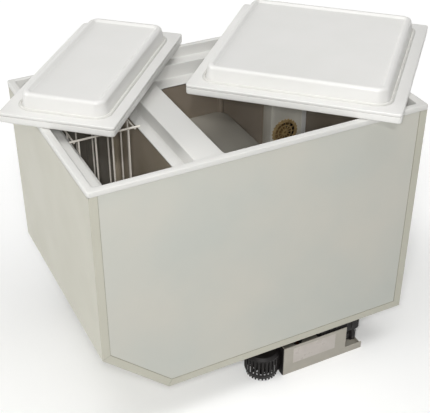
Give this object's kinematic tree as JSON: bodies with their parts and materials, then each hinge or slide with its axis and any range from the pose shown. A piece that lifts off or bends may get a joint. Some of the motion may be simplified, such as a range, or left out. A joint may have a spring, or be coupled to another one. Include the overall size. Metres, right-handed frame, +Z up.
{
  "type": "chest refrigerator",
  "caption": "Built-in chest refrigerator with lift-off insulated lids lying on its rim, a cabinet with a sloping lower corner, a hanging wire basket and a condensing unit below.",
  "frame": {"origin": "on the surface that the condensing unit's tray stands on, under the middle of the cabinet's width and depth", "axes": "+X to the right seen from the front, +Y to the back, +Z up"},
  "size_m": [1.0603, 0.7319, 0.7198],
  "materials": {
    "casing": "satin",
    "panel": "satin",
    "foam": "matte",
    "white_moulding": "satin",
    "liner": "satin",
    "roll_bond": "satin",
    "coated_wire": "satin",
    "housing": "satin",
    "guard": "satin",
    "fan_black": "matte",
    "fan_brown": "satin",
    "fins": "satin",
    "gasket": "matte",
    "tray": "satin",
    "hanger": "satin",
    "zinc": "satin",
    "black_fins": "satin",
    "black_shell": "satin",
    "damper": "matte",
    "copper": "satin"
  },
  "bodies": {
    "cabinet": {"side_wrap": "casing", "front_panel": "panel", "back_panel": "panel", "insulation_foam": "foam", "top_frame": "white_moulding", "small_liner": "liner", "large_liner": "liner", "evaporator_plate": "roll_bond", "fan_housing": "housing", "fan_guard": "guard", "fan_frame": "fan_black", "evaporator_coil": "fins", "unit_tray": "tray", "left_hanger": "hanger", "right_hanger": "hanger", "hanger_screws": "zinc", "intake_cowl": "fan_black", "cowl_motor": "fan_black", "condenser_block": "black_fins", "compressor": "black_shell", "compressor_mounts": "damper", "compressor_bolts": "zinc", "control_box": "fan_black", "quick_coupling": "black_shell", "filter_dryer": "copper", "liquid_line": "copper", "suction_line": "copper"},
    "small_lid": {"small_lid_shell": "white_moulding", "small_lid_core": "foam", "small_lid_liner": "white_moulding", "small_lid_gasket": "gasket"},
    "large_lid": {"large_lid_shell": "white_moulding", "large_lid_core": "foam", "large_lid_liner": "white_moulding", "large_lid_gasket": "gasket"},
    "basket": {"wire_basket": "coated_wire"},
    "circulation_fan": {"circulation_rotor": "fan_brown"},
    "intake_fan": {"intake_rotor": "fan_black"}
  },
  "joints": [
    {"name": "small_lid_lift", "type": "slide", "parent": "cabinet", "child": "small_lid", "axis": [0, 0, 1], "range_m": [0, 0.2]},
    {"name": "large_lid_lift", "type": "slide", "parent": "cabinet", "child": "large_lid", "axis": [0, 0, 1], "range_m": [0, 0.2]},
    {"name": "basket_lift", "type": "slide", "parent": "cabinet", "child": "basket", "axis": [0, 0, 1], "range_m": [0, 0.05]},
    {"name": "circulation_fan_spin", "type": "hinge", "parent": "cabinet", "child": "circulation_fan", "pos_m": [0.2708, 0.144, 0.4255], "axis": [0, 1, 0], "continuous": true},
    {"name": "intake_fan_spin", "type": "hinge", "parent": "cabinet", "child": "intake_fan", "pos_m": [0.027, -0.208, 0.026], "axis": [0, 0, 1], "continuous": true}
  ]
}
